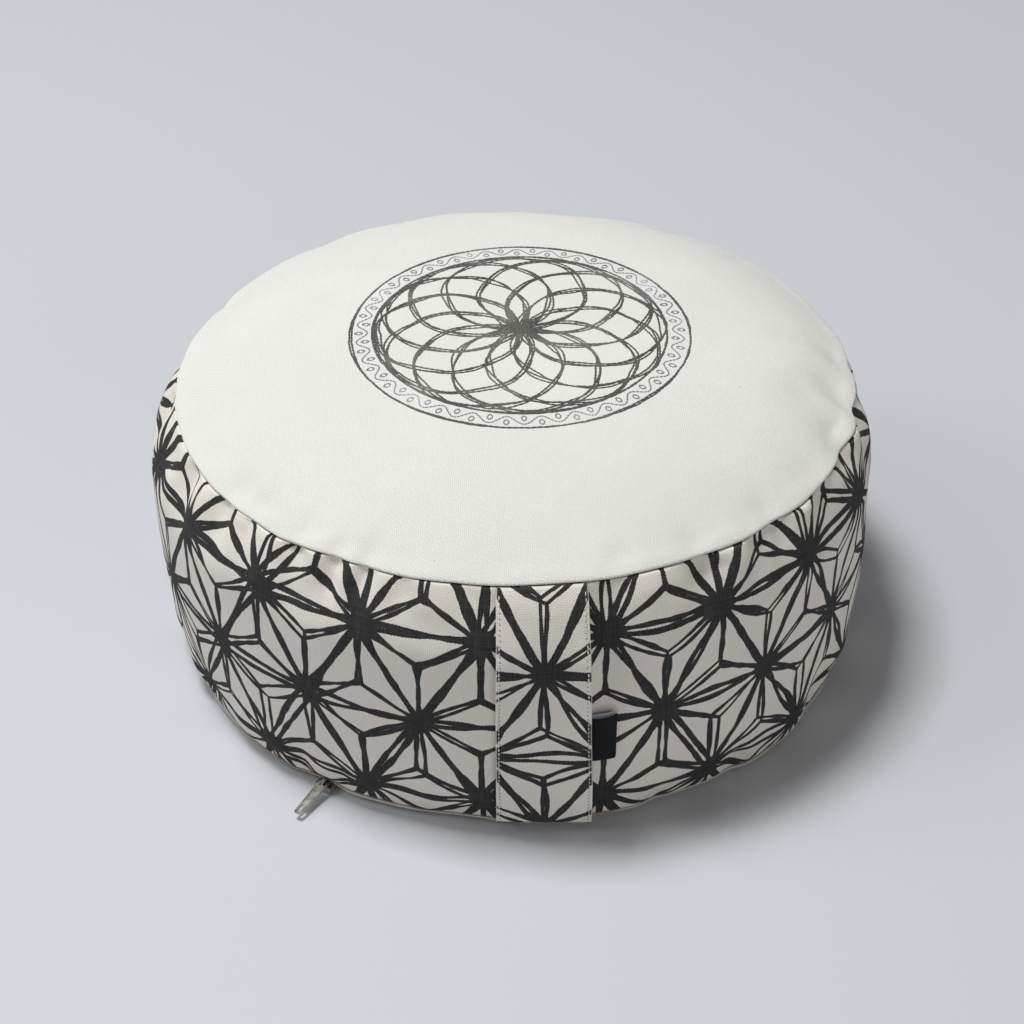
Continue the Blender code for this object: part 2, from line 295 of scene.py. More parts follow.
# Dents and folds, most of them beside the two seams.
DENTS = (  # azimuth deg, spread deg, drop mm, drop spread mm, outwards mm
    (-51.5, 2.4, -6.0, 4.5, -1.9),
    (-47.5, 1.6, -4.0, 4.0, 0.8),
    (-55.5, 1.5, -7.0, 6.0, -0.8),
    (-33.2, 1.2, -6.0, 5.0, 1.3),
    (-30.3, 1.3, -6.0, 5.0, -0.7),
    (-23.8, 1.4, -6.0, 5.0, -0.55),
    (9.3, 1.4, -11.0, 5.0, 0.5),
    (12.4, 1.4, -9.0, 5.0, -0.7),
    (-40.5, 1.3, 4.0, 8.0, -2.2),
    (-36.8, 1.7, 7.5, 7.0, 1.6),
    (-33.2, 1.2, 5.0, 9.0, -3.5),
    (-30.5, 1.3, 7.5, 7.0, 2.0),
    (-27.8, 1.2, 4.0, 8.0, -2.7),
    (-25.0, 1.5, 8.0, 8.0, 0.9),
    (-45.0, 1.8, 8.0, 8.0, 1.0),
    (-50.0, 1.2, 6.0, 9.0, -1.8),
    (-57.0, 1.7, 7.0, 9.0, -2.0),
    (-62.5, 2.0, 8.0, 9.0, 1.0),
    (-68.0, 1.8, 6.0, 8.0, -1.6),
    (-21.5, 1.2, 5.0, 7.0, -1.3),
    (-15.0, 1.8, 8.0, 7.0, 0.8),
    (11.0, 1.6, 5.0, 6.0, -1.0),
    (8.6, 3.0, 42.0, 18.0, -2.7),
    (16.0, 2.2, 7.0, 7.0, 1.0),
    (24.5, 1.2, 5.0, 8.0, -2.1),
    (31.0, 1.7, 8.0, 8.0, 1.6),
    (35.5, 1.1, 5.0, 7.0, -1.3),
    (40.0, 1.3, 7.0, 9.0, -2.2),
    (47.0, 2.0, 8.0, 8.0, 1.2),
    (53.5, 1.2, 6.0, 8.0, -1.6),
    (61.5, 1.6, 9.0, 10.0, -2.0),
    (69.0, 2.2, 8.0, 9.0, 1.3),
    (75.8, 1.6, 6.0, 9.0, -2.0),
    (78.6, 2.6, -13.5, 6.0, -1.6),
    (72.6, 2.4, -27.0, 6.0, -0.9),
    (67.0, 2.0, -6.5, 4.5, -1.6),
    (62.0, 1.6, -5.0, 4.0, 0.7),
    (89.0, 1.6, -6.0, 6.0, -0.9),
    (92.0, 1.6, -15.0, 8.0, -0.7),
    (166.0, 6.0, -8.0, 9.0, -1.7),
    (86.0, 7.0, 37.0, 16.0, -2.1),
    (74.0, 8.0, 76.0, 18.0, 0.9),
    (59.0, 7.0, 103.0, 12.0, -1.7),
    (-103.0, 6.0, 9.0, 13.0, -1.5),
    (-84.0, 9.0, 98.0, 20.0, -0.9),
    (-118.0, 1.8, 6.0, 9.0, -2.0),
    (118.0, 1.6, 6.0, 9.0, -1.8),
    (146.0, 1.8, 6.0, 9.0, -1.9),
    (172.0, 1.7, 7.0, 9.0, -2.0),
    (-44.5, 1.8, 112.0, 8.0, 1.1),
    (-39.6, 1.3, 115.0, 7.0, -2.0),
    (-35.5, 1.7, 119.0, 5.0, 1.5),
    (-31.8, 1.2, 118.0, 6.0, -1.4),
    (18.2, 1.3, 119.0, 6.0, -1.3),
    (32.3, 1.4, 118.0, 7.0, -1.5),
    (52.0, 1.8, 117.0, 8.0, -1.3),
    (-62.0, 1.8, 117.0, 8.0, -1.2),
)


def cloth_relief(drop):
    """How far the cloth stands out at each drop and azimuth: the filled-out skin between its rows, plus the
    dents, each a round hump or hollow."""
    rows = np.searchsorted(pucker_drops, drop).clip(1, len(pucker_drops) - 1)
    low, high = pucker_drops[rows - 1], pucker_drops[rows]
    share = np.clip((drop - low) / (high - low), 0, 1)[:, None]
    relief = puckers[rows - 1] * (1 - share) + puckers[rows] * share
    relief[drop < pucker_drops[0]] = 0
    for centre, spread, at, run, outwards in DENTS:
        down_it = np.exp(-(((drop / MM - at) / run)[:, None] ** 2) / 2)
        relief += outwards * MM * down_it * hump(centre, spread)
    return relief


# Where each seam itself runs off its circle between its puckers.
TOP_NOTCHES = (  # azimuth deg, spread deg, outwards mm, up mm
    (3.0, 25.0, -0.3, 1.9),
    (-57.0, 1.6, -0.9, -0.5),
    (-40.5, 1.4, -0.9, -0.4),
    (-33.0, 1.2, -1.5, -0.8),
    (-28.0, 1.2, -1.0, -0.5),
    (24.5, 1.5, -0.8, -0.3),
    (40.0, 1.6, -0.9, -0.4),
    (63.8, 1.9, -2.0, -0.9),
    (69.5, 2.4, 0.9, 0.4),
    (75.8, 1.9, -1.9, -0.9),
    (89.0, 1.8, -1.2, -0.7),
    (-118.0, 1.8, -1.1, -0.5),
    (146.0, 1.8, -1.1, -0.5),
    (166.0, 4.0, -1.2, -1.0),
)
BASE_NOTCHES = (
    (-17.0, 12.0, -2.2, 0.3),
    (-72.0, 11.0, -2.2, 0.0),
    (24.0, 7.0, -1.4, 0.2),
    (45.0, 3.0, 1.4, -0.3),
    (62.0, 8.0, -1.7, 0.0),
    (-39.6, 1.4, -0.8, 0.9),
    (-35.5, 1.9, -1.2, 2.0),
    (18.2, 1.2, -0.7, 0.9),
    (32.3, 1.4, -0.9, 1.2),
    (52.0, 1.8, -0.7, 0.8),
)


STRAP_HALF_ANGLE = 7.2  # deg, where the band lies flat under the strap
flat_under_strap = 1 - np.exp(-((turn_from(0) / STRAP_HALF_ANGLE) ** 8))


def seam_shift(notches, seed):
    """(outwards, up) at each azimuth by which a seam leaves its circle: a seeded wave, and the notches."""
    out, up = 0.28 * MM * ripple(seed, 7, 34), 0.34 * MM * ripple(seed + 1, 5, 26)
    for centre, spread, outwards, upwards in notches:
        near = MM * hump(centre, spread)
        out, up = out + outwards * near, up + upwards * near
    return out * flat_under_strap, up


top_out, top_up = seam_shift(TOP_NOTCHES, 3)
base_out, base_up = seam_shift(BASE_NOTCHES, 33)

# The band's edges turn into the seams. Offsets from the seam's own line.
TOP_LIP = (  # outwards mm, up mm
    (-2.4, -2.6),
    (-1.2, -1.85),
    (-0.55, -1.30),
    (-0.05, -1.15),
    (0.35, -1.28),
    (0.72, -1.58),
)
BASE_LIP = (  # outwards mm, up mm
    (0.05, 0.8),
    (-0.35, -0.1),
    (-0.80, -0.65),
    (-1.40, -0.55),
    (-2.00, 0.20),
    (-3.00, 1.20),
)
INSIDE_TOP = ((0, 149.2), (60, 149.0), (110, 142.5), (138, 132.0), (148.5, 125.6))  # radius, height mm
INSIDE_BASE = ((154, 5.0), (146, 3.2), (110, 2.8), (50, 2.8), (0, 2.8))
SIDE_ROWS = 42


def band_rings():
    """Rows of the band and of the filling's hidden crown and underside, and each row's cloth position."""
    top = np.array(TOP_LIP) * MM + (TOP_SEAM_RADIUS, TOP_SEAM_HEIGHT)
    base = np.array(BASE_LIP) * MM + (BASE_SEAM_RADIUS, BASE_SEAM_HEIGHT)
    bend = (1 - np.cos(np.linspace(0, math.pi, SIDE_ROWS))) / 2
    drop = 2.2 * MM + (SIDE_LENGTH - 3.6 * MM) * (0.5 * bend + 0.5 * np.linspace(0, 1, SIDE_ROWS))
    side = skin_line(drop)
    line = np.vstack([np.array(INSIDE_TOP) * MM, top, side, base, np.array(INSIDE_BASE) * MM])
    before = len(INSIDE_TOP) + len(top)
    drops = np.concatenate([
        np.full(len(INSIDE_TOP), -1.0),
        length_along(top) - length_along(top)[-1] + drop[0] - 1.5 * MM,
        drop,
        drop[-1] + length_along(base) + 1.0 * MM,
        np.full(len(INSIDE_BASE), 1.0),
    ])
    shown = slice(before, before + len(side))
    held = np.clip(0.65 + np.minimum(drop, SIDE_LENGTH - drop) / (9 * MM), 0, 1)
    relief = np.zeros((len(line), COLUMNS))
    relief[shown] = cloth_relief(drop) * held[:, None] * flat_under_strap
    relief[before - 3 : before] = relief[before] * np.array([0.1, 0.35, 0.75])[:, None]
    relief[shown.stop : shown.stop + 2] = relief[shown.stop - 1] * np.array([0.6, 0.2])[:, None]
    normal = outward(line)
    normal[before - 3 : before] = normal[before]
    near_top = np.exp(-((np.clip(drops, 0, None) / (11 * MM)) ** 2))[:, None]
    near_top[: len(INSIDE_TOP)] = 0
    near_base = np.exp(-((np.clip(SIDE_LENGTH - drops, 0, None) / (9 * MM)) ** 2))[:, None]
    near_base[shown.stop + len(base) :] = 0
    radius = line[:, :1] + normal[:, :1] * relief + near_top * top_out + near_base * base_out
    height = line[:, 1:] + normal[:, 1:] * relief + near_top * top_up + near_base * base_up
    return settled(turned(radius, height)), drops


def flat_cloth(along, down):
    """(u, v) of cloth that is wound round the drum: u along its belly, v down from the top seam."""
    u, v = np.meshgrid(along, down)
    return np.stack([u, v], axis=-1)


rings, drops = band_rings()
once_round = np.linspace(0, math.tau * BELLY_RADIUS, COLUMNS + 1)
band = skin_mesh("Side_band", *softened(rings, flat_cloth(once_round, drops)))


def step(tree, kind, *values, **settings):
    """A shader node of this kind with its settings; each value, a number, colour or another node's output,
    goes to the inputs in order. Gives its first output."""
    node = tree.nodes.new("ShaderNode" + kind)
    for name, setting in settings.items():
        setattr(node, name, setting)
    for socket, value in zip(node.inputs, values):
        if isinstance(value, bpy.types.NodeSocket):
            tree.links.new(value, socket)
        elif value is not None:
            socket.default_value = value
    return node.outputs[0]


def sum_of(tree, kind, *values):
    """One step of arithmetic."""
    return step(tree, "Math", *values, operation=kind)


def tinted(tree, share, first, second):
    """The first colour turning into the second as share goes from 0 to 1."""
    node = tree.nodes.new("ShaderNodeMix")
    node.data_type = "RGBA"
    for number, value in ((0, share), (6, first), (7, second)):
        if isinstance(value, bpy.types.NodeSocket):
            tree.links.new(value, node.inputs[number])
        else:
            node.inputs[number].default_value = value if number == 0 else (*value, 1.0)
    return node.outputs[2]


def ramp(tree, value, start, end, low=0.0, high=1.0):
    """value eased from low at start to high at end."""
    return step(tree, "MapRange", value, start, end, low, high, interpolation_type="SMOOTHSTEP")


def cloth_place(tree):
    """The cloth's own (u, v) in metres, as a vector and as two numbers."""
    place = step(tree, "UVMap", uv_map="Cloth")
    parts = step(tree, "SeparateXYZ", place).node.outputs
    return place, parts[0], parts[1]


def object_place(tree):
    """The place in the piece's own axes, in metres."""
    return tree.nodes.new("ShaderNodeTexCoord").outputs["Object"]


def streaks(tree, place, scales):
    """Noise with a scale of its own along each axis, drawn out where that is small."""
    return step(tree, "TexNoise", step(tree, "Mapping", place, None, None, scales), None, 1.0, 2.0)


def ridges(tree, place, pitch):
    """Ridges a pitch apart: the sine of the place across them, made positive."""
    return sum_of(tree, "ABSOLUTE", sum_of(tree, "SINE", sum_of(tree, "MULTIPLY", place, math.pi / pitch)))


def blank_material(name):
    """A new material and its node tree."""
    material = bpy.data.materials.new(name)
    material.use_nodes = True
    return material, material.node_tree


def coated(tree, colour, roughness, relief, strength, depth):
    """Joins the colour, the roughness and a relief, depth high where it is 1, to the tree's shader, and
    gives that shader."""
    shader = tree.nodes["Principled BSDF"]
    bump = tree.nodes.new("ShaderNodeBump")
    bump.inputs["Strength"].default_value = strength
    bump.inputs["Distance"].default_value = depth
    tree.links.new(relief, bump.inputs["Height"])
    tree.links.new(bump.outputs[0], shader.inputs["Normal"])
    tree.links.new(colour, shader.inputs["Base Color"])
    tree.links.new(roughness, shader.inputs["Roughness"])
    return shader


THREAD_U, THREAD_V = 0.82 * MM, 0.58 * MM  # pitch of the canvas's threads
WEAVE_DEPTH = 0.10 * MM
CHEQUER = 0.50  # how much the threads that pass over stand above those that pass under


def weave(tree, place, u, v):
    """Plain weave. Height is the sine of each thread's place across times that of the other's, made
    positive, so that every crossing is a small pillow; slubs make some threads thicker."""
    warp_slub, weft_slub = streaks(tree, place, (900, 60, 1)), streaks(tree, place, (60, 900, 1))
    astray = step(tree, "TexNoise", place, None, 170.0, 1.0, 0.5)
    off = sum_of(tree, "MULTIPLY", sum_of(tree, "SUBTRACT", astray, 0.5), 4.2)
    a = sum_of(tree, "SINE", sum_of(tree, "ADD", sum_of(tree, "MULTIPLY", u, math.pi / THREAD_U), off))
    b = sum_of(tree, "SINE", sum_of(tree, "SUBTRACT", sum_of(tree, "MULTIPLY", v, math.pi / THREAD_V), off))
    crossing = sum_of(tree, "MULTIPLY", a, b)
    pillow = sum_of(tree, "POWER", sum_of(tree, "ABSOLUTE", crossing), 0.6)
    slub = sum_of(tree, "ADD", warp_slub, weft_slub)
    return pillow, crossing, slub


def canvas(name, ground, shade, ink=None):
    """Cotton canvas. ground is the colour of a thread's crown; shade is painted shade, put in the gaps between
    threads and on the threads that pass under, and the flecks and husks are tinted from it; ink, if any, is a
    function of the cloth's place and weave that gives (print mask, ink colour)."""
    material, tree = blank_material(name)
    place, u, v = cloth_place(tree)
    pillow, crossing, slub = weave(tree, place, u, v)
    cloud = step(tree, "TexNoise", place, None, 14.0, 3.0, 0.6)
    fleck = step(tree, "TexNoise", place, None, 420.0, 2.0, 0.6)
    raised = sum_of(tree, "ADD", pillow, sum_of(tree, "MULTIPLY", crossing, CHEQUER))
    # Painted shade: the gaps and the threads that pass under take the shade colour, the threads that pass over
    # the ground colour.
    colour = tinted(tree, ramp(tree, raised, 0.05, 1.10), shade, ground)
    worn = [channel * factor for channel, factor in zip(ground, (0.93, 0.92, 0.90))]
    colour = tinted(tree, ramp(tree, cloud, 0.42, 0.72, 0.0, 0.45), colour, worn)
    colour = tinted(tree, ramp(tree, fleck, 0.60, 0.78, 0.0, 0.30), colour, shade)
    speck = step(tree, "TexVoronoi", place, None, 46.0)
    husk = [channel * factor for channel, factor in zip(shade, (0.62, 0.58, 0.52))]
    colour = tinted(tree, ramp(tree, speck, 0.012, 0.022, 0.7, 0.0), colour, husk)
    roughness = ramp(tree, pillow, 0.0, 1.0, 0.95, 0.82)
    if ink:
        mask, ink_colour = ink(tree, place, u, v, pillow, crossing, slub)
        colour = tinted(tree, mask, colour, ink_colour)
    relief = sum_of(tree, "ADD", raised, sum_of(tree, "MULTIPLY", slub, 0.8))
    shader = coated(tree, colour, roughness, relief, 0.85, WEAVE_DEPTH)
    shader.inputs["Sheen Weight"].default_value = 0.03
    shader.inputs["Sheen Roughness"].default_value = 0.6
    shader.inputs["Specular IOR Level"].default_value = 0.10
    return material


LEAF_SIDE = math.tau * BELLY_RADIUS / 20  # side of the hemp-leaf lattice's triangle: twenty go round
LEAF_RISE = LEAF_SIDE * math.sqrt(3) / 2
EDGE_STROKE, LEAF_STROKE = 1.35 * MM, 1.05 * MM  # half widths of a brush stroke
DRAFT_SWAY = 13 * MM  # how far either draft sways off the lattice, from one end of the noise to the other


def leaf_strokes(tree, place, warp, sway):
    """Distance into the nearest brush stroke of the hemp-leaf lattice, in metres, positive inside. Three
    families of lines 60 degrees apart cut the cloth into triangles; in each, the shares of its height to
    the three sides add up to 1. A side is where the least share is 0, and a leaf's vein where the two
    least are equal."""
    swayed = step(tree, "VectorMath", warp, (sway, sway, 0.0), operation="MULTIPLY")
    place = step(tree, "VectorMath", place, swayed, operation="ADD")
    place = step(tree, "VectorMath", place, (0.0, LEAF_RISE / 2, 0.0), operation="ADD")
    shares = []
    for degrees in (90, 210, 330):
        line = (math.cos(math.radians(degrees)) / LEAF_RISE, math.sin(math.radians(degrees)) / LEAF_RISE, 0.0)
        along = step(tree, "VectorMath", place, line, operation="DOT_PRODUCT").node.outputs["Value"]
        shares.append(sum_of(tree, "FRACT", along))
    total = sum_of(tree, "ADD", sum_of(tree, "ADD", shares[0], shares[1]), shares[2])
    flipped = sum_of(tree, "GREATER_THAN", total, 1.5)
    one, two, three = [
        sum_of(tree, "ABSOLUTE", sum_of(tree, "SUBTRACT", share, flipped)) for share in shares
    ]
    least = sum_of(tree, "MINIMUM", sum_of(tree, "MINIMUM", one, two), three)
    most = sum_of(tree, "MAXIMUM", sum_of(tree, "MAXIMUM", one, two), three)
    middle = sum_of(tree, "SUBTRACT", sum_of(tree, "SUBTRACT", 1.0, least), most)
    edge = sum_of(tree, "SUBTRACT", EDGE_STROKE, sum_of(tree, "MULTIPLY", least, LEAF_RISE))
    apart = sum_of(tree, "MULTIPLY", sum_of(tree, "SUBTRACT", middle, least), LEAF_RISE / math.sqrt(3))
    vein = sum_of(tree, "SUBTRACT", LEAF_STROKE, apart)
    # Strokes widen where many meet, at the triangle's corners.
    corner = ramp(tree, most, 0.82, 1.0, 0.0, 0.7 * MM)
    return sum_of(tree, "ADD", sum_of(tree, "MAXIMUM", edge, vein), corner)


def rim_pink(tree, place, u, v, pillow, crossing, slub):
    """Salmon-pink patches here and there on the rim, between the rim and the band: patches of noise, kept to
    the upper edge of the rim by their height."""
    height = step(tree, "SeparateXYZ", object_place(tree)).node.outputs[2]
    patches = step(tree, "TexNoise", place, None, 24.0, 1.0, 0.5)
    upper = ramp(tree, height, 3.0 * MM, 3.4 * MM)
    return sum_of(tree, "MULTIPLY", ramp(tree, patches, 0.52, 0.60, 0.0, 0.75), upper), (0.44, 0.31, 0.25)


def leaf_ink(tree, place, u, v, pillow, crossing, slub):
    """Charcoal ink drawn twice over the hemp-leaf lattice by an unsteady hand: the two drafts sway apart and
    cross. The ink's edge follows the threads, and it misses the deepest gaps."""
    sway = step(tree, "TexNoise", place, None, 17.0, 1.0).node.outputs["Color"]
    even = step(tree, "VectorMath", sway, (0.5, 0.5, 0.5), operation="SUBTRACT")
    first = leaf_strokes(tree, place, even, DRAFT_SWAY)
    second = leaf_strokes(tree, place, even, -DRAFT_SWAY)
    pressed = step(tree, "TexNoise", place, None, 75.0, 2.0, 0.5)
    width = ramp(tree, pressed, 0.3, 0.7, -0.35 * MM, 0.35 * MM)
    ragged = sum_of(tree, "MULTIPLY", crossing, 0.10 * MM)
    inside = sum_of(tree, "ADD", sum_of(tree, "ADD", sum_of(tree, "MAXIMUM", first, second), width), ragged)
    mask = ramp(tree, inside, -0.12 * MM, 0.12 * MM)
    missed = ramp(tree, pillow, 0.06, 0.38, 0.89, 1.0)
    mask = sum_of(tree, "MULTIPLY", mask, missed)
    ink_colour = tinted(tree, ramp(tree, slub, 0.8, 1.25), (0.020, 0.020, 0.021), (0.040, 0.039, 0.039))
    return mask, ink_colour


band.data.materials.append(canvas("Printed canvas", (0.950, 0.912, 0.853), (0.72, 0.681, 0.627), leaf_ink))
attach(band, "root")
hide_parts("side_band")

# Top panel. A disc of plain canvas, turned under and sewn to the band, whose edge rolls over the seam. It is
# pulled tight by the filling, with a few soft dents near its edge.

PANEL_THICK = 1.4 * MM
TOP_ROLL = (  # outwards mm, up mm from the seam: the rolled edge, then its turned-in allowance
    (-4.2, 3.00),
    (-2.6, 2.20),
    (-1.2, 1.40),
    (-0.25, 0.80),
    (0.22, 0.20),
    (0.18, -0.35),
    (-0.20, -0.80),
    (-1.00, -0.70),
    (-3.20, 0.45),
)


def top_rings():
    """Rows of the top panel: crown, rolled edge, and back under it to the middle."""
    crown_run = CROWN_LENGTH * np.linspace(0, 1, 30) ** 0.75
    crown_run = crown_run[crown_run < CROWN_LENGTH - 6 * MM]
    over = skin_line(crown_run - CROWN_LENGTH)
    roll = np.array(TOP_ROLL) * MM + (TOP_SEAM_RADIUS, TOP_SEAM_HEIGHT)
    inner_radius = np.array([146.5, 138, 120, 90, 45, 0]) * MM
    inner = np.stack([inner_radius, crown_height(inner_radius) - PANEL_THICK], axis=1)
    line = np.vstack([over, roll, inner])
    drop = np.concatenate([crown_run - CROWN_LENGTH, np.interp(roll[:, 0], [0.14, 0.154], [-10 * MM, 0])])
    relief = np.zeros((len(line), COLUMNS))
    held = np.clip(0.15 - drop / (6 * MM), 0, 1)
    relief[: len(drop)] = cloth_relief(drop) * held[:, None]
    relief[len(drop) :] = relief[len(over) - 1] * np.linspace(1, 0, len(inner))[:, None]
    normal = outward(line)
    normal[len(over) + 6 :] = (0, 1)
    run = length_along(line)
    near_seam = np.exp(-(((line[:, :1] - TOP_SEAM_RADIUS) / (11 * MM)) ** 2))
    radius = line[:, :1] + normal[:, :1] * relief + near_seam * top_out
    height = line[:, 1:] + normal[:, 1:] * relief + near_seam * top_up
    return settled(turned(radius, height)), np.minimum(run, 2 * CROWN_LENGTH - run)


def disc_cloth(run):
    """(u, v) of a disc of cloth from its middle: the distance along it, straight out at each azimuth."""
    angle = np.linspace(0, math.tau, COLUMNS + 1)
    return np.stack([run[:, None] * np.sin(angle), -run[:, None] * np.cos(angle)], axis=-1)


rings, run = top_rings()
top = skin_mesh("Top_panel", *softened(rings, disc_cloth(run)))
top.data.materials.append(canvas("Plain canvas", (0.922, 0.922, 0.890), (0.680, 0.675, 0.645)))
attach(top, "root")
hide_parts("top_panel")

# Base panel. A disc of the same plain canvas; its edge turns up to the base seam as a thin pale rim.

BASE_LINE = (  # radius mm, height mm of the outside, from the middle
    (0.0, 0.0),
    (60.0, 0.0),
    (110.0, 0.0),
    (135.0, 0.0),
    (146.0, 0.0),
    (150.0, 0.35),
    (154.0, 1.35),
    (157.4, 2.30),
    (158.9, 2.85),
    (159.4, 3.25),
    (159.2, 3.65),
    (158.0, 3.75),
    (155.0, 2.95),
    (150.0, 1.80),
    (140.0, 1.50),
    (80.0, 1.50),
    (0.0, 1.50),
)


def base_rings():
    """Rows of the base panel: the flat underside, the turned-up edge and the inner face."""
    line = np.array(BASE_LINE) * MM
    run = length_along(line)
    near_seam = np.exp(-((np.clip(158.5 * MM - line[:, :1], 0, None) / (4 * MM)) ** 2))
    shown = base_out + 0.42 * MM * ripple(61, 3, 22)  # more of the rim shows in some places
    radius, height = line[:, :1] + near_seam * shown, line[:, 1:] + near_seam * base_up
    return settled(turned(radius, height)), np.minimum(run, run[-1] - run)


rings, run = base_rings()
base = skin_mesh("Base_panel", *softened(rings, disc_cloth(run)))
base.data.materials.append(canvas("Base canvas", (0.82, 0.80, 0.74), (0.59, 0.57, 0.52), rim_pink))
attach(base, "root")
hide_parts("base_panel")

# Medallion. A rosette of overlapping circles between two rings, embroidered on the top panel in dark
# grey-green thread, with a finer running vine in lilac-grey between the rings.

MEDALLION_MIDDLE = np.array([1.5, 0.2]) * MM
RING_OUTER, RING_INNER = 75.9 * MM, 65.6 * MM
STITCH_LENGTH = 2.6 * MM
STITCH_STRAY = 0.12 * MM
STITCH_LAP = 0.14  # share of its length by which a stitch runs under the next


def on_top(flat):
    """Points on the top panel above flat (x, y) places, and its upward normals."""
    radius = np.linalg.norm(flat, axis=-1)
    height = crown_height(radius)
    fall = (HEIGHT - TOP_SEAM_HEIGHT) * CROWN_POWER / TOP_SEAM_RADIUS
    slope = fall * (radius / TOP_SEAM_RADIUS) ** (CROWN_POWER - 1) / np.maximum(radius, 1e-6)
    up = unit(np.concatenate([flat * slope[..., None], np.ones_like(radius)[..., None]], axis=-1))
    return settled(np.concatenate([flat, height[..., None]], axis=-1)), up


STITCH_SHAPE = ((0.0, 0.0), (0.10, 0.75), (0.5, 1.0), (0.90, 0.75), (1.0, 0.0))  # along, thickness shares
STITCH_SIDES = 6


def stitches(name, starts, ends, ups, width, height):
    """Many short stitches as one mesh. Each is a spindle from start to end with an elliptic section, width
    across and height up, that dives into the cloth at both ends."""
    along = ends - starts
    side = unit(np.cross(along, ups))
    share, thick = np.array(STITCH_SHAPE).T
    turn = np.arange(STITCH_SIDES) * math.tau / STITCH_SIDES
    centre = starts[:, None] + share[:, None] * along[:, None]
    centre = centre + ups[:, None] * height * (0.5 * thick - 0.30)[:, None]
    across = side[:, None, None] * (0.5 * width * thick[:, None] * np.cos(turn))[..., None]
    above = ups[:, None, None] * (0.5 * height * thick[:, None] * np.sin(turn))[..., None]
    points = centre[:, :, None] + across + above
    count, rows, sides = points.shape[:3]
    faces = (ring_faces(rows, sides) + np.arange(count)[:, None, None] * rows * sides).reshape(-1, 4)
    u, v = np.meshgrid(turn / math.tau, share)
    beside_u = u + 1 / sides
    corner = np.stack([
        np.stack([u[:-1], v[:-1]], -1), np.stack([u[1:], v[1:]], -1),
        np.stack([beside_u[1:], v[1:]], -1), np.stack([beside_u[:-1], v[:-1]], -1),
    ], axis=2)
    return cloth_piece(name, points, faces, np.tile(corner.ravel(), count), 1e-7)


def round_middle(reach, angle):
    """Flat places at a reach from the medallion's middle, at each angle from +Y towards +X."""
    return (reach * np.stack([np.sin(angle), np.cos(angle)])).T


def sewn_circles(centres, radius, strands, sway, seed):
    """Starts and ends of stitches round circles on the flat cloth. Each strand wanders by sway to either
    side of its circle, so that two strands cross now and then."""
    draw = np.random.default_rng(seed)
    count = round(math.tau * radius / STITCH_LENGTH)
    angle = np.linspace(0, math.tau, count + 1)
    starts, ends = [], []
    for centre in centres:
        for strand in range(strands):
            turns = draw.integers(3, 8, 3)
            phase = draw.uniform(0, math.tau, 3)
            wander = (np.cos(turns[:, None] * angle + phase[:, None])).sum(axis=0) / 1.7
            reach = radius + sway * (wander + (strand - (strands - 1) / 2) * 1.1)
            ring = centre + round_middle(reach, angle)
            shift = draw.normal(0, STITCH_STRAY, ring.shape)
            shift[-1] = shift[0]
            ring = ring + shift
            along = np.diff(ring, axis=0)
            starts.append(ring[:-1] - STITCH_LAP * along)
            ends.append(ring[1:] + STITCH_LAP * along)
    return np.concatenate(starts), np.concatenate(ends)


def thread(name, light, dark, roughness=0.5):
    """Twisted embroidery thread: slanted stripes of painted shade, the light colour on the plies' crowns and
    the dark one in their grooves; patches of painted sheen, lighter and darker from strand to strand; and a
    soft shine.
    """
    material, tree = blank_material(name)
    u, v = cloth_place(tree)[1:]
    slant = sum_of(tree, "ADD", sum_of(tree, "MULTIPLY", u, 2.0), sum_of(tree, "MULTIPLY", v, 5.0))
    ply = ridges(tree, slant, 1.0)
    sheen_patches = step(tree, "TexNoise", object_place(tree), None, 38.0, 2.0, 0.6)
    painted_sheen = [min(channel * 1.9, 1.0) for channel in light]
    # Painted shade: the dark colour lies in the grooves between the plies, the light one on their crowns.
    colour = tinted(tree, ramp(tree, ply, 0.1, 0.7), dark, light)
    # Painted sheen: patches lighter and darker from strand to strand.
    colour = tinted(tree, ramp(tree, sheen_patches, 0.50, 0.62, 0.0, 0.6), colour, painted_sheen)
    colour = tinted(tree, ramp(tree, sheen_patches, 0.38, 0.50, 0.6, 0.0), colour, dark)
    dulled = ramp(tree, ply, 0.0, 1.0, roughness + 0.2, roughness)
    shader = coated(tree, colour, dulled, ply, 0.6, 0.06 * MM)
    shader.inputs["Sheen Weight"].default_value = 0.2
    return material


def embroidered(name, runs, width, height, material):
    """Stitches on the top panel from runs of flat (starts, ends) about the medallion's middle."""
    starts, ends = (np.concatenate(part) + MEDALLION_MIDDLE for part in zip(*runs))
    points, ups = on_top(starts)
    piece = stitches(name, points, on_top(ends)[0], ups, width, height)
    piece.data.materials.append(material)
    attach(piece, "root")
    return piece


PETALS = 12
PETAL_REACH = 32.2 * MM  # from the medallion's middle to each circle's
petal_angle = np.arange(PETALS) * math.tau / PETALS
petal_middles = round_middle(PETAL_REACH, petal_angle)
middle = np.zeros((1, 2))
dark_thread = thread("Dark thread", (0.105, 0.110, 0.092), (0.050, 0.053, 0.044))
embroidered("Medallion_rosette", [
    sewn_circles(petal_middles, PETAL_REACH, 3, 0.75 * MM, 21),
    sewn_circles(middle, RING_INNER, 2, 0.30 * MM, 22),
    sewn_circles(middle, RING_OUTER, 2, 0.33 * MM, 23),
], 1.0 * MM, 0.6 * MM, dark_thread)

VINE_WAVES = 30
VINE_SWAY = 2.6 * MM
LEAF_JOINTS = (-0.6, 1.4, 3.4)  # mm from the border's middle to a leaf's foot, its widest place and its tip
LEAF_LEAN = 0.019  # turn round the border between a leaf's middle and its edge


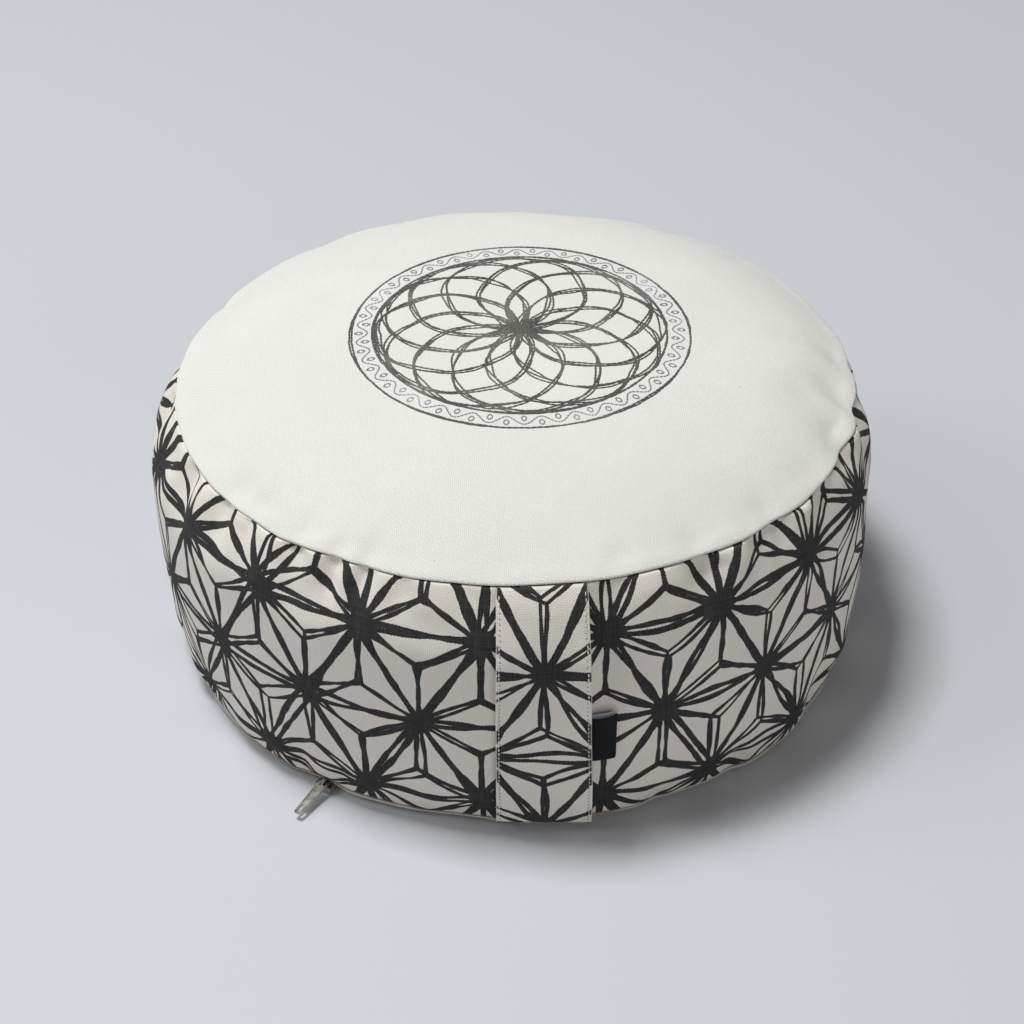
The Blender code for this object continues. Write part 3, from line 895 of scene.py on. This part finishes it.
def sewn_vine():
    """A vine that sways round the border, with a small leaf stitched into each of its hollows."""
    count = VINE_WAVES * 12
    angle = np.linspace(0, math.tau, count + 1)
    middle_radius = (RING_OUTER + RING_INNER) / 2
    reach = middle_radius + VINE_SWAY * np.sin(VINE_WAVES * angle)
    line = round_middle(reach, angle)
    hollow = (np.arange(2 * VINE_WAVES) + 0.5) * math.pi / VINE_WAVES
    side = np.where(np.arange(2 * VINE_WAVES) % 2 == 0, -1, 1)
    starts, ends = [line[:-1]], [line[1:]]
    for lean in (-LEAF_LEAN, LEAF_LEAN):
        edge = [
            round_middle(middle_radius + side * off * MM, hollow + turn)
            for off, turn in zip(LEAF_JOINTS, (0.0, lean, 0.0))
        ]
        starts += edge[:-1]
        ends += edge[1:]
    return np.concatenate(starts), np.concatenate(ends)


pale_thread = thread("Lilac thread", (0.33, 0.32, 0.38), (0.20, 0.19, 0.23))
embroidered("Medallion_vine", [sewn_vine()], 0.75 * MM, 0.5 * MM, pale_thread)

# Side strap. A doubled strip of the printed canvas, folded under along both long edges and topstitched close
# to them, caught in the top seam and sewn down at the base. One edge stands a little off the side.

STRAP_WIDTH = 40.0 * MM
STRAP_THICK = 1.8 * MM
STRAP_GAP = 0.35 * MM
STRAP_LIFT = 4.6 * MM
STITCH_INSET = 1.35 * MM
STRAP_ROWS = 96
STRAP_START, STRAP_LENGTH = 0.9 * MM, SIDE_LENGTH - 0.9 * MM
STRAP_CUT = (0.1034, 0.031)  # where on the printed cloth it was cut, u and v
TOPSTITCH_PITCH = 2.2 * MM
TOPSTITCH = 1.75 * MM
TOPSTITCH_FROM = 4 * MM


def side_place(across, drop, off):
    """Points at off from the drum's side, drop down the cloth and across round it from the strap's middle."""
    line = skin_line(drop)
    tangent = unit(skin_line(drop + 0.5 * MM) - skin_line(drop - 0.5 * MM))
    radius = line[..., 0] - tangent[..., 1] * off
    height = line[..., 1] + tangent[..., 0] * off
    turn = across / line[..., 0]
    near_top = np.exp(-((np.clip(drop, 0, None) / (11 * MM)) ** 2))
    height = height + near_top * np.interp(turn, azimuth, top_up, period=math.tau)
    return settled(np.stack([radius * np.sin(turn), -radius * np.cos(turn), height], axis=-1))


def drawn_in(across, share):
    """Place across the strap, by share of the way down: the top seam draws it in and a little to one side."""
    return across * (0.918 + 0.085 * share) - 1.55 * MM + 2.2 * MM * share


def strap_lift(across, share):
    """How far the strap's inner face is off the side, by place across and share of the way down."""
    out = np.clip(across / STRAP_WIDTH + 0.1, 0, 1) / 0.6
    ends = np.clip(share * 3.3, 0, 1) ** 1.4 * (1 - 0.5 * np.clip(share * 3 - 2, 0, 1))
    fold = 0.5 * MM * np.sin(across / STRAP_WIDTH * 6 + share * 14) * np.sin(share * math.pi)
    near = (STRAP_GAP + 0.5 * MM) * np.clip(0.3 + share * 14, 0, 1)
    return near + STRAP_LIFT * out**1.6 * ends + fold


def strap_thickness(share):
    """Thickness by share of the way down: pressed flat by the top seam, and closed at the lower end."""
    pressed = np.clip(share * 12, 0, 1) ** 0.7
    return STRAP_THICK * np.minimum(pressed, np.clip((1 - share) * 44, 0, 1) ** 0.5)


def strap_rings():
    """Rounds of points about the strap's section, from the top seam down to the base: the outer face with a
    trough at each row of topstitching, rounded edges and the inner face."""
    half = STRAP_WIDTH / 2
    corner = np.radians([90, 60, 30, 0, -30, -60, -90])
    edge = STRAP_THICK / 2
    face = np.linspace(-half, half, 41)
    face = face[np.abs(face) < half - edge]
    across = np.concatenate([
        face, half - edge + edge * np.cos(corner), face[::-1], -(half - edge) - edge * np.cos(corner),
    ])
    through = np.concatenate([
        np.ones(len(face)), 0.5 + 0.5 * np.sin(corner), np.zeros(len(face)), 0.5 + 0.5 * np.sin(-corner),
    ])
    share = np.linspace(0, 1, STRAP_ROWS)[:, None]
    drop = STRAP_START + share * STRAP_LENGTH
    flat = np.append(across, across[0]) + STRAP_CUT[0]
    cloth = np.stack(np.broadcast_arrays(flat, drop + STRAP_CUT[1]), axis=-1)
    across = drawn_in(across, share)
    drop = drop + 0.3 * MM * share * np.clip(across / half, 0, 1)
    trough = np.exp(-(((np.abs(flat[:-1] - STRAP_CUT[0]) - (half - STITCH_INSET)) / (0.7 * MM)) ** 2))
    puffed = 1 - 0.22 * trough
    off = strap_lift(across, share) + strap_thickness(share) * through * puffed
    rings = side_place(np.broadcast_to(across, off.shape), np.broadcast_to(drop, off.shape), off)
    return rings, cloth


def strap_ink(tree, place, u, v, pillow, crossing, slub):
    """The band's print, thinned on both folded edges as a painted highlight along the folds, with a painted
    shade in the needle hole at each topstitch's end.
    """
    mask, ink_colour = leaf_ink(tree, place, u, v, pillow, crossing, slub)
    across = sum_of(tree, "ABSOLUTE", sum_of(tree, "SUBTRACT", u, STRAP_CUT[0]))
    # Painted highlight: the ink thins to 0.3 on the outer edge of both folds.
    mask = sum_of(tree, "MULTIPLY", mask, ramp(tree, across, 19.2 * MM, 19.9 * MM, 1.0, 0.3))
    down = sum_of(tree, "SUBTRACT", v, STRAP_CUT[1] + TOPSTITCH_FROM - 0.4 * MM)
    pitch = sum_of(tree, "FRACT", sum_of(tree, "DIVIDE", down, TOPSTITCH_PITCH))
    beside = sum_of(tree, "SUBTRACT", across, STRAP_WIDTH / 2 - STITCH_INSET - 0.45 * MM)
    in_row = ramp(tree, sum_of(tree, "ABSOLUTE", beside), 0.20 * MM, 0.50 * MM, 1.0, 0.0)
    # Painted shade in the needle hole at the end of each topstitch.
    hole = sum_of(tree, "MULTIPLY", in_row, ramp(tree, pitch, 0.14, 0.28, 0.75, 0.0))
    return sum_of(tree, "MAXIMUM", mask, hole), ink_colour


rings, cloth = strap_rings()
strap = skin_mesh("Side_strap", rings, cloth)
strap.data.materials.append(canvas("Strap canvas", (0.955, 0.917, 0.858), (0.72, 0.681, 0.627), strap_ink))
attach(strap, "root")
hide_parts("side_strap")


def topstitching():
    """Stitches down both long edges of the strap, each a pitch below the last."""
    down = np.arange(TOPSTITCH_FROM, SIDE_LENGTH - 2.5 * MM, TOPSTITCH_PITCH)
    half = STRAP_WIDTH / 2 - STITCH_INSET
    side = np.repeat([-half, half], len(down))
    down = np.tile(down, 2)

    def at(drop):
        share = (drop - STRAP_START) / STRAP_LENGTH
        across = drawn_in(side, share)
        return side_place(across, drop, strap_lift(across, share) + 0.80 * strap_thickness(share))

    starts, ends = at(down), at(down + TOPSTITCH)
    return stitches("Strap_stitching", starts, ends, unit(starts * (1, 1, 0)), 0.6 * MM, 0.5 * MM)


stitching = topstitching()
stitching.data.materials.append(thread("Pale thread", (0.66, 0.645, 0.61), (0.48, 0.46, 0.43), 0.6))
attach(stitching, "root")

# Side tab. A black woven ribbon, folded once into a flat loop, both ends sewn in under the strap's free
# edge. Its face is plain. At the top the loop stands open and shows its lilac-grey back.

TAB_LOW, TAB_HIGH = 42.4 * MM, 67.5 * MM
TAB_REACH, TAB_TUCK = 10.5 * MM, 3.0 * MM
TAB_THICK, TAB_FOLD = 0.55 * MM, 0.45 * MM
TAB_OPEN, TAB_SHUT = 1.9 * MM, 0.3 * MM  # how far the upper leg bows away at the tab's upper and lower end
LEG_POINTS, FOLD_POINTS, TAB_ROWS = 12, 9, 30
RIB_PITCH, CROSS_PITCH = 0.33 * MM, 0.21 * MM


def tab_section(open_by):
    """The ribbon's section, across and off the side: out along the under leg, round the fold and back along
    the upper leg, which bows away by open_by; then the same way back on the loop's inside."""
    leg = TAB_TUCK + TAB_REACH - TAB_THICK - TAB_FOLD
    low = STRAP_GAP + TAB_THICK
    shares = np.linspace(0, 1, LEG_POINTS + 1)[:-1]
    bend = np.radians(np.linspace(-80, 80, FOLD_POINTS))
    under = np.stack([shares * leg, np.full(LEG_POINTS, low)], axis=1)
    fold = np.stack([leg + TAB_FOLD * np.cos(bend), low + TAB_FOLD * (1 + np.sin(bend))], axis=1)
    bow = open_by * np.sin(math.pi * shares) ** 0.8
    over = np.stack([shares * leg, low + 2 * TAB_FOLD * (0.5 + 0.5 * shares) + bow], axis=1)[::-1]
    line = np.vstack([under, fold, over])
    tangent = unit(np.gradient(line, axis=0))
    outer = line + TAB_THICK * np.stack([tangent[:, 1], -tangent[:, 0]], axis=1)
    return outer, line


def tab_rings():
    """Rounds of the ribbon's section from the tab's upper end, where the loop stands open, to its lower."""
    share = np.linspace(0, 1, TAB_ROWS)[:, None, None]
    (outer, line), (low_outer, low_line) = tab_section(TAB_OPEN), tab_section(TAB_SHUT)
    outer, line = outer + (low_outer - outer) * share**0.7, line + (low_line - line) * share**0.7
    rounded = np.clip(np.minimum(share, 1 - share) * TAB_ROWS / 1.6, 0, 1) ** 0.5
    middle = (outer + line) / 2
    section = np.concatenate([outer, line[:, ::-1]], axis=1)
    middle = np.concatenate([middle, middle[:, ::-1]], axis=1)
    section = middle + (section - middle) * rounded
    heights = np.linspace(TAB_HIGH, TAB_LOW, TAB_ROWS)
    drop = np.interp(-heights, -side_line[:, 1], side_drops)[:, None]
    across = STRAP_WIDTH / 2 - TAB_TUCK + section[..., 0]
    rings = side_place(across, np.broadcast_to(drop, across.shape), section[..., 1])
    round_it = length_along(np.vstack([low_outer, low_line[::-1], low_outer[:1]]))
    u, v = np.meshgrid(round_it, drop[:, 0])
    return rings, np.stack([u, v], axis=-1)


def tab_ribbon():
    """Black satin-woven ribbon: fine ribs across it, their grooves darker as painted shade, and a lilac-grey
    back inside the loop, its own colour painted lighter to make up for the shade there.
    """
    material, tree = blank_material("Black ribbon")
    u, v = cloth_place(tree)[1:]
    rib, cross = ridges(tree, v, RIB_PITCH), ridges(tree, u, CROSS_PITCH)
    inside = sum_of(tree, "GREATER_THAN", u, TAB_FACE)
    # Painted shade: the grooves between the ribs are darker than their crowns.
    face = tinted(tree, ramp(tree, rib, 0.1, 0.9), (0.003, 0.003, 0.004), (0.010, 0.010, 0.012))
    # The back is its own lilac-grey, painted lighter to make up for the shade inside the loop: partly painted
    # light.
    back = tinted(tree, ramp(tree, rib, 0.1, 0.9), (0.58, 0.62, 0.74), (0.78, 0.81, 0.91))
    roughness = ramp(tree, cross, 0.0, 1.0, 0.75, 0.55)
    relief = sum_of(tree, "ADD", rib, cross)
    shader = coated(tree, tinted(tree, inside, face, back), roughness, relief, 0.5, 0.05 * MM)
    shader.inputs["Specular IOR Level"].default_value = 0.12
    return material


rings, cloth = tab_rings()
TAB_FACE = float(cloth[0, 2 * LEG_POINTS + FOLD_POINTS, 0])  # how far round the loop its outer face reaches
tab = skin_mesh("Side_tab", rings, cloth)
tab.data.materials.append(tab_ribbon())
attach(tab, "root")
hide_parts("side_tab")

# Zip slider and pull. Cast and nickel-plated, dulled with use. The zip lies in the base seam under the
# band's lip, and only its slider and the flat pull show.


def nickel(name):
    """Plated metal: cloudy roughness, darker in the dulled places, with fine scratches."""
    material, tree = blank_material(name)
    place = object_place(tree)
    cloud = step(tree, "TexNoise", place, None, 260.0, 3.0, 0.6)
    scratch = streaks(tree, place, (2400, 260, 900))
    colour = tinted(tree, ramp(tree, cloud, 0.35, 0.70), (0.42, 0.41, 0.39), (0.58, 0.57, 0.54))
    roughness = ramp(tree, cloud, 0.3, 0.7, 0.24, 0.42)
    shader = coated(tree, colour, roughness, scratch, 0.25, 0.03 * MM)
    shader.inputs["Metallic"].default_value = 1.0
    return material


plating = nickel("Nickel plate")
for node in ("zip_slider", "zip_pull"):
    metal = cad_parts[node].data.materials
    metal.clear()
    metal.append(plating)

# Floor, light and camera.

floor_mesh = bpy.data.meshes.new("Floor")
floor_mesh.from_pydata([(-4, -4, 0), (4, -4, 0), (4, 4, 0), (-4, 4, 0)], [], [(0, 1, 2, 3)])
floor = placed("Floor", floor_mesh)
paint, paint_tree = blank_material("Pale floor")
paint_tree.nodes["Principled BSDF"].inputs["Base Color"].default_value = (0.615, 0.632, 0.672, 1.0)
paint_tree.nodes["Principled BSDF"].inputs["Roughness"].default_value = 0.45
floor_mesh.materials.append(paint)

world = bpy.data.worlds.new("Soft room")
world.use_nodes = True
sky = world.node_tree.nodes["Background"]
sky.inputs["Color"].default_value = (0.98, 0.99, 1.0, 1.0)
sky.inputs["Strength"].default_value = 0.155
bpy.context.scene.world = world

LAMPS = (  # name, place m, side m, watts, colour
    ("Skylight", (-0.82, 0.30, 3.25), 0.84, 84.0, (1.0, 1.0, 0.995)),
    ("Window", (-2.38, -0.15, 2.38), 1.7, 23.0, (1.0, 1.0, 0.995)),
    ("Room", (1.7, -2.3, 0.85), 2.0, 13.2, (1.0, 0.94, 0.87)),
)
for name, place, side, watts, colour in LAMPS:
    lamp = bpy.data.lights.new(name, "AREA")
    lamp.size, lamp.energy, lamp.color = side, watts, colour
    hung = placed(name, lamp)
    hung.location = place
    hung.rotation_mode = "QUATERNION"
    hung.rotation_quaternion = (-hung.location).to_track_quat("-Z", "Y")

CAMERA_PLACE = (-60.76 * MM, -835.40 * MM, 672.70 * MM)
CAMERA_TARGET = (-0.87 * MM, 0.06 * MM, 50.68 * MM)
CAMERA_ROLL = math.radians(-0.17)
CAMERA_LENS = 77.36  # mm, on a sensor 36 mm wide
lens = bpy.data.cameras.new("Camera")
lens.lens, lens.sensor_width = CAMERA_LENS, 36.0
lens.clip_start, lens.clip_end = 0.01, 50.0
camera = placed("Camera", lens)
camera.location = CAMERA_PLACE
look = Vector(CAMERA_TARGET) - camera.location
camera.rotation_mode = "QUATERNION"
camera.rotation_quaternion = look.to_track_quat("-Z", "Y") @ Quaternion((0, 0, 1), CAMERA_ROLL)
bpy.context.scene.camera = camera
bpy.context.scene.view_settings.view_transform = "Standard"
